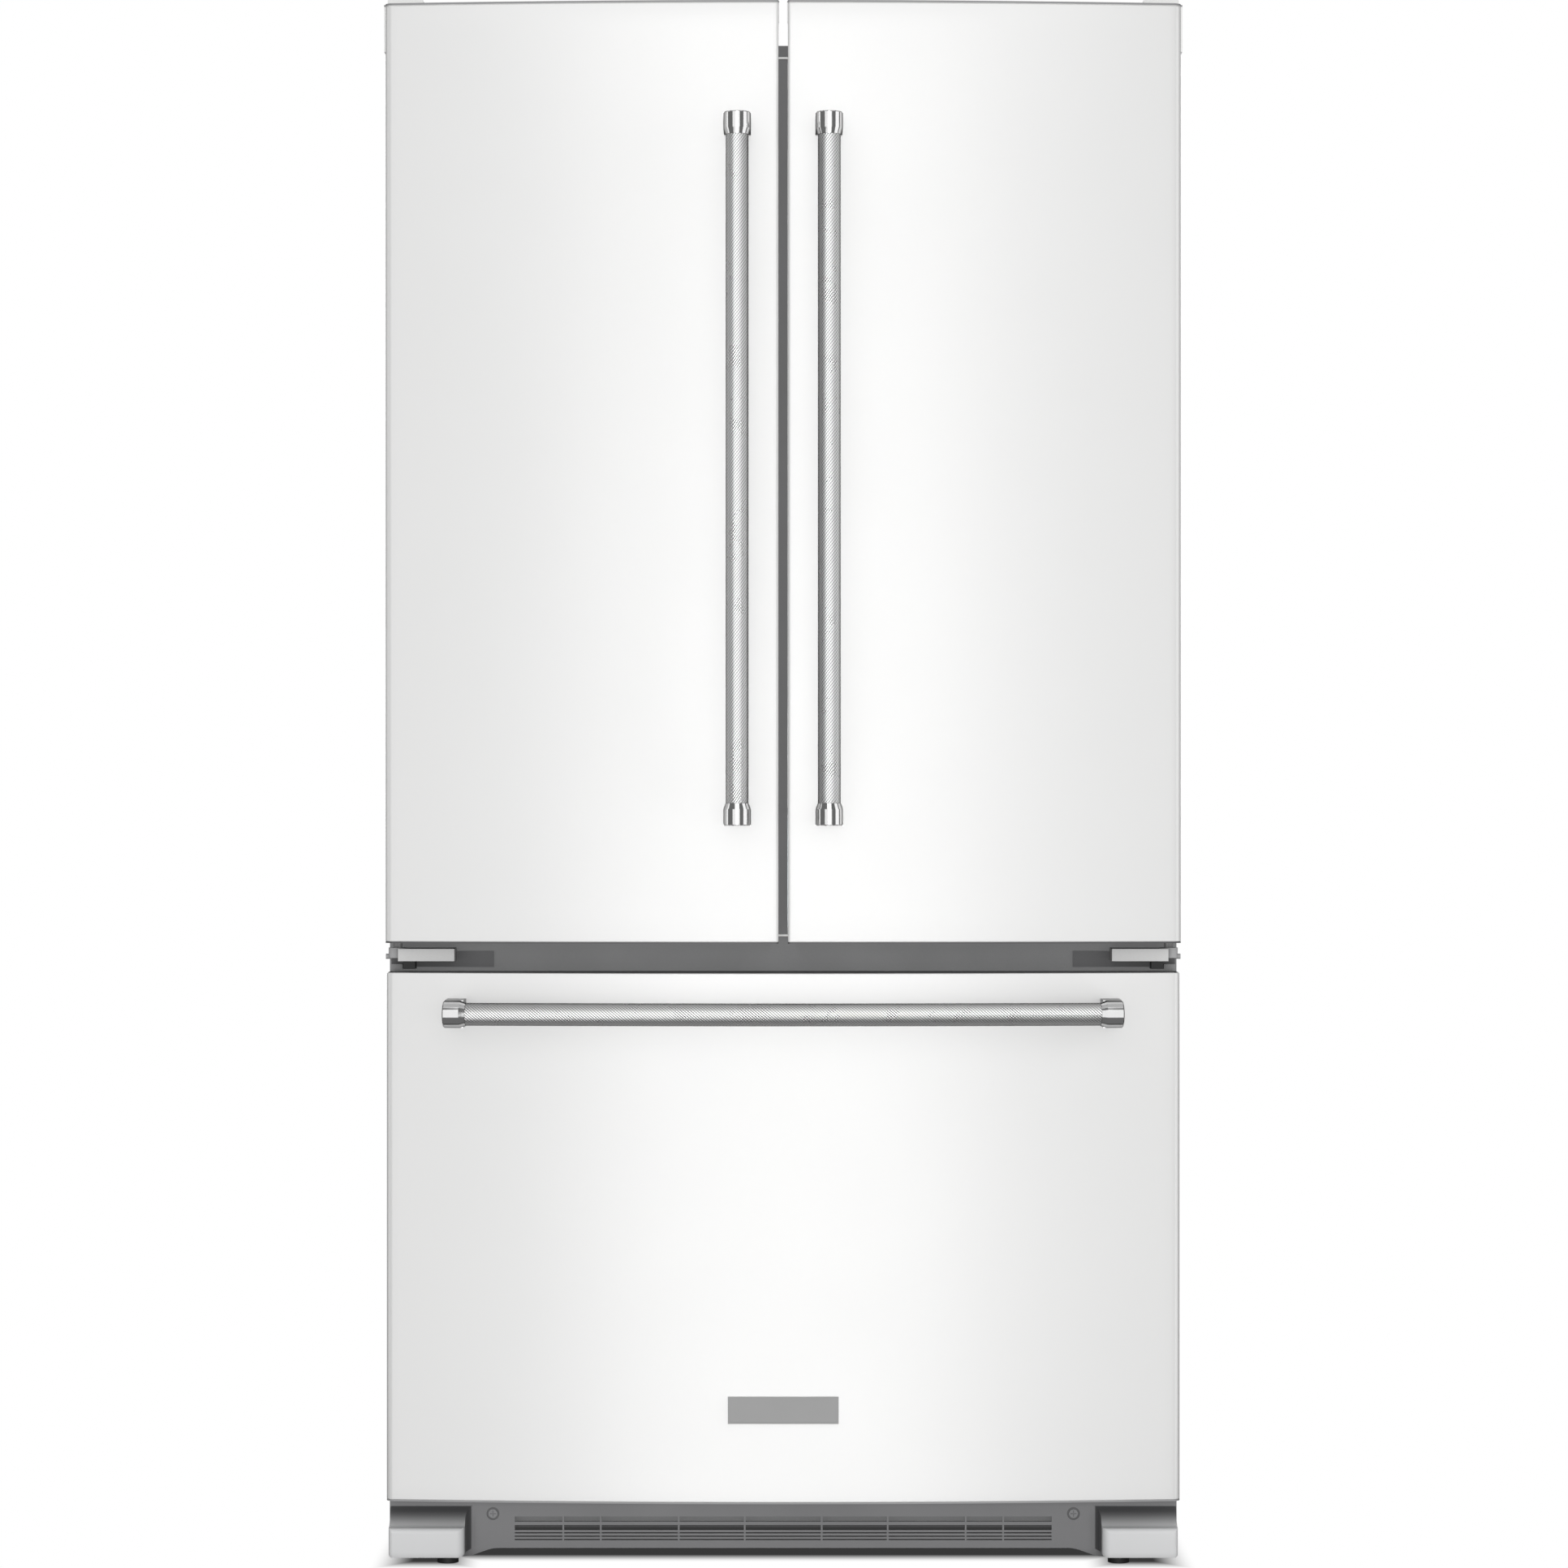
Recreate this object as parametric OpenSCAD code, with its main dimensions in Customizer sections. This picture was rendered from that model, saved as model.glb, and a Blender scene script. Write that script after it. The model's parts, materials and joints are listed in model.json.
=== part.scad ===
// French door refrigerator: two doors over a freezer drawer.
// Millimetres. +Z up, front towards -Y, origin on the floor under the middle of the object's box.

/* [Overall] */
// Depth from the handles' fronts to the back panel
overall_depth = 790; // [780:1:800]
// Width of the cabinet
cabinet_width = 902; // [898:1:904]
// Height of the cabinet's top panel
cabinet_top = 1735; // [1733:1:1738]

/* [Doors and drawer] */
// Height of the doors' lower edge
door_bottom = 708.2; // [708:0.1:710]
// Height of the upper edge of the doors' skins
door_top = 1771; // [1769:1:1772]
// Width over both doors
doors_width = 903; // [901:1:904]
// Gap between the two doors
door_gap = 10.5; // [10.3:0.1:11.5]
// Height of the drawer's lower edge
drawer_bottom = 75.7; // [75:0.1:78]
// Height of the drawer's upper edge
drawer_top = 674.6; // [673:0.1:676]
// Width of the drawer
drawer_width = 900; // [898:1:901]
// How far the fronts bulge across their whole width
crown = 22; // [20:1:24]
// Thickness of the gaskets between the fronts and the cabinet
gasket_thick = 12; // [11:0.5:12]

/* [Handles] */
// Radius of the handle bars
bar_radius = 12.7; // [12:0.1:13]
// Radius of the handles' end caps
cap_radius = 15.3; // [15:0.1:15.8]
// Projection of the handles from the fronts
handle_projection = 63.5; // [60:0.5:66]
// Distance of each door handle from the middle
handle_offset = 51.5; // [50:0.5:54]

/* [Hidden] */

white = [0.93, 0.93, 0.92];
platinum = [0.72, 0.73, 0.74];
steel = [0.75, 0.76, 0.77];
dark_grey = [0.25, 0.25, 0.26];
clear = [0.82, 0.88, 0.9, 0.5];

hair = 0.1;             // hairline between pieces that only lie against each other
back_y = overall_depth / 2;
crown_y = -overall_depth / 2 + handle_projection;
crown_r = (pow(doors_width / 2, 2) + crown * crown) / (2 * crown);
front_centre_y = crown_y + crown_r;
edge_front_y = crown_y + crown;
cab_front = crown_y + crown + 55.5;
front_back_y = cab_front - gasket_thick;  // plane of the fronts' rear faces

half_w = cabinet_width / 2;
sheet = 1.2;            // cabinet steel
foam_x = half_w - sheet - hair;
cavity_x = 404;         // half width of both foam cavities
liner = 2;              // liner thickness
room_x = cavity_x - liner;
cavity_back = 340;
fridge_floor = 714;
fridge_ceiling = 1706;
mouth_top = 1722;       // the refrigerator's room is higher just behind its doors
mouth_y = cab_front + 40;
freezer_floor = 90;
freezer_ceiling = 664;
machine_y = 175;        // front of the machine compartment
machine_top = 270;
step_y = 120;           // back of the freezer's lower part
step_z = 325;           // floor of the freezer's upper part
deck_z = 40;

edge_taper = 6.5;       // how much the free edges lean away from the gap
skin = 1;               // front steel
cap_fit = 1.05;         // inset of the end caps' plugs and the cores inside a skin
free_corner = 3;
outer_corner = 9;

hinge_x = doors_width / 2 - 12;
hinge_y = front_back_y - 14;
pin_r = 5;
pin_fit = 0.05;

// ---------------------------------------------------------------- shared outlines

// Front surface of the doors and the drawer at a distance x from the middle
function front_y(x) = front_centre_y - sqrt(crown_r * crown_r - x * x);

function arc_pts(cx, cy, r, a0, a1, n) =
    [for (i = [0:n]) let (a = a0 + (a1 - a0) * i / n) [cx + r * cos(a), cy + r * sin(a)]];

// Middle of a vertical corner's rounding of radius r at x, touching the bulged front from inside
function corner_y(x, r) = front_centre_y - sqrt(pow(crown_r - r, 2) - x * x);

// Point in front of the bulged front, on the line from its centre through a corner's middle
function beyond(x, y) =
    let (far = (crown_r + 60) / norm([x, y - front_centre_y]))
    [x * far, front_centre_y + (y - front_centre_y) * far];

free_x = door_gap / 2 + free_corner;
free_y = corner_y(free_x, free_corner);
door_side_x = doors_width / 2 - outer_corner;
door_side_y = corner_y(door_side_x, outer_corner);
drawer_side_x = drawer_width / 2 - outer_corner;
drawer_side_y = corner_y(drawer_side_x, outer_corner);

// Free edge of the right door: it leans away from the gap towards the back
function free_edge_x(y) = door_gap / 2 + edge_taper * (y - free_y) / (front_back_y - free_y);

// Plan of the right door, moved in by t on its front and sides, and ending at yb
module door_plan(t, yb) {
    intersection() {
        translate([0, front_centre_y]) circle(r = crown_r - t, $fn = 720);
        polygon([
            [free_edge_x(yb) + t, yb], [door_gap / 2 + t, free_y], [free_x, free_y],
            beyond(free_x, free_y), beyond(door_side_x, door_side_y),
            [door_side_x, door_side_y], [doors_width / 2 - t, door_side_y], [doors_width / 2 - t, yb]
        ]);
    }
    translate([free_x, free_y]) circle(r = free_corner - t, $fn = 32);
    translate([door_side_x, door_side_y]) circle(r = outer_corner - t, $fn = 48);
}

// Plan of the drawer's front
module drawer_plan(t, yb) {
    intersection() {
        translate([0, front_centre_y]) circle(r = crown_r - t, $fn = 720);
        polygon([
            [-drawer_width / 2 + t, yb], [-drawer_width / 2 + t, drawer_side_y],
            [-drawer_side_x, drawer_side_y],
            beyond(-drawer_side_x, drawer_side_y), beyond(drawer_side_x, drawer_side_y),
            [drawer_side_x, drawer_side_y], [drawer_width / 2 - t, drawer_side_y], [drawer_width / 2 - t, yb]
        ]);
    }
    for (side = [-1, 1]) translate([side * drawer_side_x, drawer_side_y])
        circle(r = outer_corner - t, $fn = 48);
}

module slab(x0, x1, y0, y1, z0, z1) {
    translate([x0, y0, z0]) cube([x1 - x0, y1 - y0, z1 - z0]);
}

module both_sides() {
    children();
    mirror([1, 0, 0]) children();
}

module tube_x(x0, x1, y, z, r, fn = 48) {
    translate([x0, y, z]) rotate([0, 90, 0]) cylinder(h = x1 - x0, r = r, $fn = fn);
}

module tube_y(x, y0, y1, z, r, fn = 48) {
    translate([x, y0, z]) rotate([-90, 0, 0]) cylinder(h = y1 - y0, r = r, $fn = fn);
}

module tube_z(x, y, z0, z1, r, fn = 48) {
    translate([x, y, z0]) cylinder(h = z1 - z0, r = r, $fn = fn);
}

// Rectangular ring in the plane of a front's back, w wide and running from y0 to y1
module ring(x0, x1, z0, z1, w, y0, y1) {
    difference() {
        slab(x0, x1, y0, y1, z0, z1);
        slab(x0 + w, x1 - w, y0 - 1, y1 + 1, z0 + w, z1 - w);
    }
}

// Box open at the top
module tray(x0, x1, y0, y1, z0, z1, t) {
    difference() {
        slab(x0, x1, y0, y1, z0, z1);
        slab(x0 + t, x1 - t, y0 + t, y1 - t, z0 + t, z1 + 1);
    }
}

// ---------------------------------------------------------------- cabinet

wrapper_z0 = 22;

// Folded steel case with the rail between its two openings
module cabinet_wrapper() color(platinum) {
    difference() {
        slab(-half_w, half_w, cab_front, back_y, wrapper_z0, cabinet_top);
        slab(-half_w + sheet, half_w - sheet, cab_front + sheet, back_y + 1,
             wrapper_z0 - 1, cabinet_top - sheet);
        for (room = [[freezer_floor, mouth_top], [wrapper_z0 - 1, deck_z]])
            slab(-cavity_x, cavity_x, cab_front - 1, cab_front + sheet + 1, room[0], room[1]);
    }
    slab(-cavity_x - 1, cavity_x + 1, cab_front, cab_front + sheet,
         freezer_ceiling + hair, fridge_floor - hair);
}

module back_panel() color(steel)
    slab(-foam_x, foam_x, back_y - sheet, back_y, machine_top, cabinet_top - sheet - hair);

// Foam in slabs that lie against each other
module cabinet_insulation() color("khaki") {
    f0 = cab_front + sheet + hair;
    f1 = back_y - sheet - hair;
    top = cabinet_top - sheet - hair;
    both_sides() {
        slab(cavity_x, foam_x, f0, machine_y - hair, deck_z + hair, top);
        slab(cavity_x, foam_x, machine_y, f1, machine_top + hair, top);
    }
    in = cavity_x - hair;
    slab(-in, in, f0, mouth_y, mouth_top, top);
    slab(-in, in, mouth_y + hair, f1, fridge_ceiling, top);
    slab(-in, in, cavity_back, f1, step_z, fridge_ceiling - hair);
    slab(-in, in, f0, cavity_back - hair, freezer_ceiling, fridge_floor);
    slab(-in, in, f0, step_y - hair, deck_z + hair, freezer_floor);
    slab(-in, in, step_y, machine_y - hair, deck_z + hair, step_z);
    slab(-in, in, machine_y, f1, machine_top + hair, step_z - hair);
}

module fridge_liner() color(platinum) difference() {
    union() {
        slab(-cavity_x, cavity_x, cab_front, cavity_back, fridge_floor, fridge_ceiling);
        slab(-cavity_x, cavity_x, cab_front, mouth_y, fridge_floor, mouth_top);
    }
    slab(-room_x, room_x, cab_front - 1, cavity_back - liner, fridge_floor + liner, fridge_ceiling - liner);
    slab(-room_x, room_x, cab_front - 1, mouth_y - liner, fridge_floor + liner, mouth_top - liner);
}

// Side view of the freezer's room, moved in by t
function freezer_pts(t, y0) = [
    [y0, freezer_floor + t], [step_y - t, freezer_floor + t], [step_y - t, step_z + t],
    [cavity_back - t, step_z + t], [cavity_back - t, freezer_ceiling - t], [y0, freezer_ceiling - t]
];

module along_x(x0, x1) {
    translate([x0, 0, 0]) rotate([90, 0, 90]) linear_extrude(x1 - x0) children();
}

module freezer_liner() color(white) difference() {
    along_x(-cavity_x, cavity_x) polygon(freezer_pts(0, cab_front));
    along_x(-room_x, room_x) polygon(freezer_pts(liner, cab_front - 1));
}

leg_x = 383;
leg_y = cab_front - 18;
leg_r = 6;
roller_x0 = 352;
roller_x1 = 376;
roller_y = 330;
roller_r = 22;
axle_r = 4;

module base_frame() color("gray") {
    difference() {
        union() {
            slab(-foam_x, foam_x, cab_front + 1.4, machine_y + 3, deck_z - 4, deck_z);
            slab(-foam_x, foam_x, machine_y, back_y - 3, 50, 53);
            slab(-foam_x, foam_x, machine_y, machine_y + 3, deck_z - 4, 53);
            both_sides() {
                slab(foam_x - 12, foam_x, cab_front + 1.4, back_y - 3, wrapper_z0, deck_z);
                slab(foam_x - 12, foam_x, machine_y, back_y - 3, deck_z - 4, 50);
                slab(foam_x - 2, foam_x, machine_y, back_y - 3, 50, machine_top);
                slab(leg_x - 16, leg_x + 16, leg_y - 15, cab_front + 30, 20, deck_z - 4);
                slab(342, 346, roller_y - 18, roller_y + 18, 10, 50);
                slab(382, 386, roller_y - 18, roller_y + 18, 10, 50);
            }
        }
        both_sides() {
            tube_z(leg_x, leg_y, 10, deck_z + 1, leg_r + pin_fit);
            tube_x(338, 390, roller_y, roller_r, axle_r + pin_fit);
        }
    }
}

module rear_rollers() color(dark_grey) difference() {
    union() {
        both_sides() tube_x(roller_x0, roller_x1, roller_y, roller_r, roller_r);
        tube_x(-389, 389, roller_y, roller_r, axle_r);
    }
    both_sides() for (x = [roller_x0 - 1, roller_x1 - 5])
        translate([x, roller_y, roller_r]) rotate([0, 90, 0])
            difference() {
                cylinder(h = 6, r = roller_r - 5, $fn = 48);
                translate([0, 0, -1]) cylinder(h = 8, r = 9, $fn = 48);
            }
}

module leveling_leg() color(dark_grey) {
    tube_z(0, 0, 0, 8, 12.2);
    tube_z(0, 0, 8, 14, 9, 6);
    tube_z(0, 0, 14, deck_z - 2.6, leg_r);
}

module leveling_leg_left() translate([-leg_x, leg_y, 0]) leveling_leg();
module leveling_leg_right() translate([leg_x, leg_y, 0]) leveling_leg();

// ---------------------------------------------------------------- hinges

plate_z = door_top + 3.5;
hinge_cover_top = 1781;

module top_hinge() {
    slab(376, 446, cab_front + 30, cab_front + 120, cabinet_top, cabinet_top + 4);
    slab(400, 446, cab_front + 12, cab_front + 30, cabinet_top, plate_z + 4);
    slab(424, 446, hinge_y, cab_front + 12, plate_z, plate_z + 4);
    tube_z(hinge_x, hinge_y, plate_z, plate_z + 4, 9);
    tube_z(hinge_x, hinge_y, door_top - 16, plate_z, pin_r);
}

module top_hinges() color(steel) both_sides() difference() {
    top_hinge();
    for (x = [388, 434]) for (y = [cab_front + 60, cab_front + 104])
        tube_z(x, y, cabinet_top - 1, cabinet_top + 5, 3);
}

// Cap over a top hinge: deep over the cabinet, shallow over the door
module hinge_cover() difference() {
    union() {
        slab(370, 449, cab_front + 4, cab_front + 128, cabinet_top, hinge_cover_top);
        slab(410, 450, hinge_y - 13, cab_front + 4, plate_z - 0.4, hinge_cover_top);
    }
    slab(372, 447, cab_front + 6, cab_front + 126, cabinet_top - 1, hinge_cover_top - 2);
    slab(412, 448, hinge_y - 11, cab_front + 7, plate_z - 1, hinge_cover_top - 2);
}

module hinge_covers() color(white) both_sides() hinge_cover();

// Bracket between a door and the drawer, with the pin that carries the door
module center_hinge() {
    slab(332, 449, cab_front - 3, cab_front, 679, 697);
    slab(374, 438, edge_front_y + 14, cab_front - 3, 687, 701);
    tube_z(hinge_x, hinge_y, 690.5, 702, 10.5);
    tube_z(hinge_x, hinge_y, 702, door_bottom + 24, pin_r);
    tube_x(hinge_x + 6, hinge_x + 13.5, hinge_y, 692, 3, 24);
    slab(420, 433.5, hinge_y, cab_front - 3, 677.5, 687);
    slab(434.5, 448, hinge_y + 4, cab_front - 3, 677.5, 683);
}

module center_hinges() color(white) both_sides() center_hinge();

// ---------------------------------------------------------------- base grille

grille_y = cab_front - 12;      // front of the louvred middle
foot_front = cab_front - 42;    // front of the boxes round the legs
foot_x = [363, 449];
foot_z = 8.7;
foot_fillet = 9;
grille_z = [14.6, 70];
louvre_x = 307;
rib_x = [44, 119.5, 208.7, 251.6];
// Lower and upper edge of each row of slots
louvre_rows = [[23.6, 25], [27.3, 28.7], [31.2, 32.6], [35, 40.9], [44.6, 50.6]];
screw_x = 332;
screw_z = 54;

function s_curve(x0, z0, x1, z1, n) =
    [for (i = [0:n]) let (u = i / n) [x0 + (x1 - x0) * u, z0 + (z1 - z0) * (1 - cos(180 * u)) / 2]];

// Front view of the grille: low at the feet and raised between them
function grille_pts() = concat(
    [[-half_w + 1, grille_z[1]], [-half_w + 1, 5]],
    s_curve(-foot_x[0] - 3, 5, -326, grille_z[0], 10),
    s_curve(326, grille_z[0], foot_x[0] + 3, 5, 10),
    [[half_w - 1, 5], [half_w - 1, grille_z[1]]]
);

// Box round a leg, rounded in all three views, with a hollow curve into the grille above and beside it
module foot_box() intersection() {
    along_x(foot_x[0] - foot_fillet, foot_x[1]) polygon(concat(
        [[grille_y + 0.5, foot_z], [foot_front, foot_z]],
        arc_pts(foot_front + 6, 36, 6, 180, 90, 8),
        [for (u = [0.1:0.1:1]) [foot_front + 6 + (grille_y + 0.5 - foot_front - 6) * u, 42 + 22 * pow(u, 2)]]
    ));
    linear_extrude(80) polygon(concat(
        [[foot_x[0] - foot_fillet, grille_y + 1]],
        arc_pts(foot_x[0] - foot_fillet, grille_y - foot_fillet, foot_fillet, 90, 0, 8),
        arc_pts(foot_x[0] + 9, foot_front + 9, 9, 180, 270, 10),
        arc_pts(foot_x[1] - 5, foot_front + 5, 5, 270, 360, 8), [[foot_x[1], grille_y + 1]]
    ));
    translate([0, grille_y + 1, 0]) rotate([90, 0, 0]) linear_extrude(50) polygon(concat(
        [[foot_x[0] - foot_fillet - 1, 80], [foot_x[0] - foot_fillet - 1, foot_z + 7]],
        arc_pts(foot_x[0] + 6, foot_z + 6, 6, 225, 270, 6),
        arc_pts(foot_x[1] - 4, foot_z + 4, 4, 270, 360, 6), [[foot_x[1], 80]]
    ));
}

module base_grille() color(platinum) difference() {
    union() {
        translate([0, grille_y + 4, 0]) rotate([90, 0, 0]) linear_extrude(4) polygon(grille_pts());
        both_sides() {
            foot_box();
            slab(half_w - 4, half_w - 1, grille_y + 4, cab_front, 42, grille_z[1]);
            slab(foot_x[0], foot_x[0] + 3, grille_y + 4, cab_front, 42, grille_z[1]);
        }
    }
    both_sides() {
        slab(foot_x[0] + 3, foot_x[1] - 3, foot_front + 3, grille_y + 5, 4, 38);
        tube_y(screw_x, grille_y - 1, grille_y + 1.6, screw_z, 7.3, 48);
        tube_y(screw_x, grille_y - 1, grille_y + 5, screw_z, 2.1, 24);
    }
    ribs = concat([for (i = [3:-1:0]) -rib_x[i]], rib_x);
    edges = concat([-louvre_x - 1], ribs, [louvre_x + 1]);
    for (row = louvre_rows) for (i = [0:len(edges) - 2])
        slab(edges[i] + 1, edges[i + 1] - 1, grille_y - 1, grille_y + 5, row[0], row[1]);
}

module grille_screws() color(steel) both_sides() difference() {
    union() {
        tube_y(screw_x, grille_y - 0.4, grille_y + 1.6, screw_z, 5, 32);
        tube_y(screw_x, grille_y + 1.6, cab_front, screw_z, 2, 24);
    }
    slab(screw_x - 3.4, screw_x + 3.4, grille_y - 1, grille_y + 0.4, screw_z - 0.5, screw_z + 0.5);
    slab(screw_x - 0.5, screw_x + 0.5, grille_y - 1, grille_y + 0.4, screw_z - 3.4, screw_z + 3.4);
}

// ---------------------------------------------------------------- cooling parts

comp_x = -255;
comp_y = 285;

module compressor() color([0.12, 0.12, 0.13]) {
    translate([comp_x, comp_y, 53]) rotate_extrude($fn = 96) polygon(concat(
        [[0, 14], [64, 14], [66, 18]],
        arc_pts(58, 60, 20, -20, 20, 6),
        arc_pts(26, 104, 50, 20, 90, 8),
        [[0, 154]]
    ));
    for (a = [45:90:315]) translate([comp_x + 88 * cos(a), comp_y + 88 * sin(a), 53])
        cylinder(h = 14, r = 9, $fn = 32);
    translate([comp_x, comp_y, 65]) for (a = [45, 135]) rotate([0, 0, a])
        translate([-97, -9, -1]) cube([194, 18, 4]);
    tube_y(comp_x, comp_y - 92, comp_y - 40, 120, 4, 24);
    slab(comp_x + 70, comp_x + 96, comp_y - 22, comp_y + 22, 90, 140);
}

cond_x0 = 60;
cond_x1 = 330;

module condenser() color(dark_grey) {
    for (i = [0:17]) slab(cond_x0 + i * 15, cond_x0 + i * 15 + 1, 206, 366, 60, 232);
    for (row = [0:3]) for (col = [0:3])
        tube_x(cond_x0 - 6, cond_x1 + 6, 226 + col * 40, 82 + row * 42, 4, 24);
    for (x = [cond_x0 - 5, cond_x1 + 3]) slab(x, x + 2, 200, 372, 53, 240);
}

fan_y = 286;
fan_z = 146;

module fan_rotor(r, hub, depth, blades) difference() {
    union() {
        cylinder(h = depth, r = hub, $fn = 48);
        for (k = [0:blades - 1]) rotate([0, 0, k * 360 / blades])
            translate([hub - 3, 0, depth / 2]) rotate([28, 0, 0])
                translate([0, -depth * 0.62, -0.9]) cube([r - hub, depth * 1.24, 1.8]);
    }
    translate([0, 0, -1]) cylinder(h = depth + 2, r = 2 + pin_fit, $fn = 32);
}

module condenser_fan() color(dark_grey)
    translate([-62, fan_y, fan_z]) rotate([0, 90, 0]) fan_rotor(70, 19, 24, 5);

module condenser_fan_motor() color("gray") {
    difference() {
        slab(-34, -4, 206, 366, 53, 236);
        tube_x(-35, -3, fan_y, fan_z, 74, 96);
    }
    for (a = [0, 60, 120]) translate([-30, fan_y, fan_z]) rotate([a, 0, 0])
        translate([0, -76, -3]) cube([4, 152, 6]);
    tube_x(-30, 6, fan_y, fan_z, 24);
    tube_x(-64, -30, fan_y, fan_z, 2, 32);
}

valve_x = 26;

module rear_cover() color("gray") difference() {
    slab(-foam_x, foam_x, back_y - sheet, back_y, 54, machine_top - 0.5);
    for (row = [0:8]) for (x = [-360, -250, -140, 80, 190, 300])
        slab(x, x + 80, back_y - 3, back_y + 1, 80 + row * 20, 86 + row * 20);
    slab(valve_x - 25, valve_x + 25, back_y - 3, back_y + 1, 62, 112);
    tube_y(-422, back_y - 3, back_y + 1, 90, 9);
}

module water_valve() color(steel) {
    slab(valve_x - 18, valve_x + 18, 336, 378, 66, 104);
    tube_z(valve_x, 350, 104, 128, 12);
    tube_y(valve_x, 378, back_y - 8, 86, 8);
    tube_y(valve_x, back_y - 8, back_y + 0, 86, 3.175);
}

evap_y0 = 282;
module evaporator() color("silver") {
    for (i = [0:20]) slab(-300 + i * 30 - 0.5, -300 + i * 30 + 0.5, evap_y0, 330, 346, 536);
    for (row = [0:4]) for (y = [296, 318]) tube_x(-312, 312, y, 362 + row * 38, 4, 24);
}

evap_fan_z = 606;
module evaporator_cover() color(white) {
    difference() {
        slab(-room_x + 4, room_x - 4, 268, 271, step_z + liner, freezer_ceiling - liner - 0.2);
        tube_y(0, 260, 280, evap_fan_z, 52, 96);
        for (i = [-4:4]) slab(i * 80 - 30, i * 80 + 30, 260, 280, 350, 356);
    }
    for (a = [0, 60, 120]) translate([0, 268.5, evap_fan_z]) rotate([0, a, 0])
        translate([-54, 0, -2]) cube([108, 2, 4]);
    tube_y(0, 266, 284, evap_fan_z, 17);
    tube_y(0, 284, 322, evap_fan_z, 2, 32);
}

module evaporator_fan() color(dark_grey)
    translate([0, 290, evap_fan_z]) rotate([-90, 0, 0]) fan_rotor(48, 15, 20, 5);

module ice_maker() color(white) {
    difference() {
        slab(-392, -262, -60, 200, 566, 640);
        slab(-384, -300, -52, 192, 600, 641);
    }
    slab(-258, -254, -70, 200, 570, 640);
    slab(-392, -254, -74, -62, 562, 644);
    tube_y(-342, -50, 190, 618, 5, 24);
    slab(-385, -262, 202, 240, 600, 650);
}

// ---------------------------------------------------------------- refrigerator room

shelf_y = [-118, cavity_back - liner - hair];
shelf_z = [1200, 1455];
cover_z = 990;
shelf_x = room_x - hair;

// Frame of a shelf with a rebate for its pane
module shelf_frame(x0, x1, z) difference() {
    slab(x0, x1, shelf_y[0], shelf_y[1], z, z + 13);
    slab(x0 + 12, x1 - 12, shelf_y[0] + 14, shelf_y[1] - 12, z - 1, z + 14);
    slab(x0 + 6, x1 - 6, shelf_y[0] + 8, shelf_y[1] - 6, z + 8, z + 14);
}

module shelf_pane(x0, x1, z)
    slab(x0 + 6.2, x1 - 6.2, shelf_y[0] + 8.2, shelf_y[1] - 6.2, z + 8, z + 12);

module shelf_frames() color(white) {
    both_sides() for (z = shelf_z) shelf_frame(6, shelf_x, z);
    shelf_frame(-shelf_x, shelf_x, cover_z);
    slab(-3, 3, shelf_y[0] + 20, shelf_y[1] - 14, 858, cover_z);
    slab(-shelf_x, shelf_x, shelf_y[0] + 2, shelf_y[1] - 14, 852, 858);
}

module shelf_glass() color(clear) {
    both_sides() for (z = shelf_z) shelf_pane(6, shelf_x, z);
    shelf_pane(-shelf_x, shelf_x, cover_z);
}

drawer_back = 290;

// Inner drawer: an open tray with a thicker front and a lip to pull
module inner_drawer(x0, x1, z0, z1) {
    tray(x0, x1, shelf_y[0] + 6, drawer_back, z0, z1, 3);
    slab(x0 + 40, x1 - 40, shelf_y[0] - 4, shelf_y[0] + 6, z1 - 16, z1 - 4);
}

module crisper_left() color(clear) inner_drawer(-394, -6, 861, 978);
module crisper_right() color(clear) inner_drawer(6, 394, 861, 978);
module pantry_drawer() color(clear) inner_drawer(-394, 394, fridge_floor + liner + 1, 846);

module control_panel() color(white) {
    along_x(-130, 130) polygon([[-200, 1704], [-200, 1694], [-180, 1678], [-60, 1688], [-60, 1704]]);
    difference() {
        slab(178, 302, -148, 90, 1660, 1704);
        slab(182, 298, -149, 86, 1664, 1700);
    }
    tube_y(240, -140, 86, 1682, 17);
}

filter_y = -150;
module filter_door() color(white) {
    slab(179, 301, filter_y - 4, filter_y, 1661, 1703);
    tube_x(179, 301, filter_y - 2, 1661, 2, 24);
}

dispenser_z = 1320;
module water_dispenser() color(dark_grey) difference() {
    union() {
        slab(-room_x, -room_x + 26, -125, -35, dispenser_z, dispenser_z + 100);
        tube_z(-room_x + 34, -80, dispenser_z + 60, dispenser_z + 84, 6, 24);
        slab(-room_x + 26, -room_x + 34, -88, -72, dispenser_z + 70, dispenser_z + 84);
    }
    tube_x(-room_x + 8, -room_x + 27, -80, dispenser_z + 35, 14.08);
}

module dispenser_button() color(steel)
    tube_x(-room_x + 13, -room_x + 31, -80, dispenser_z + 35, 14);

// ---------------------------------------------------------------- freezer drawer slides

rail_z = [345, 385];
rail_y = [-224, 216];

module drawer_slide_rails() color(steel) both_sides() {
    slab(room_x - 1.6, room_x, rail_y[0], rail_y[1], rail_z[0], rail_z[1]);
    for (z = [rail_z[0], rail_z[1] - 1.6]) slab(room_x - 9, room_x - 1.6, rail_y[0], rail_y[1], z, z + 1.6);
    slab(room_x - 8, room_x, -210, 250, 496, 502);
}

module drawer_slide_middle() color(steel) both_sides() {
    slab(room_x - 4.2, room_x - 2.2, rail_y[0], rail_y[1], rail_z[0] + 2.2, rail_z[1] - 2.2);
    for (z = [rail_z[0] + 2.2, rail_z[1] - 4.2])
        slab(room_x - 10, room_x - 4.2, rail_y[0], rail_y[1], z, z + 2);
}

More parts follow.
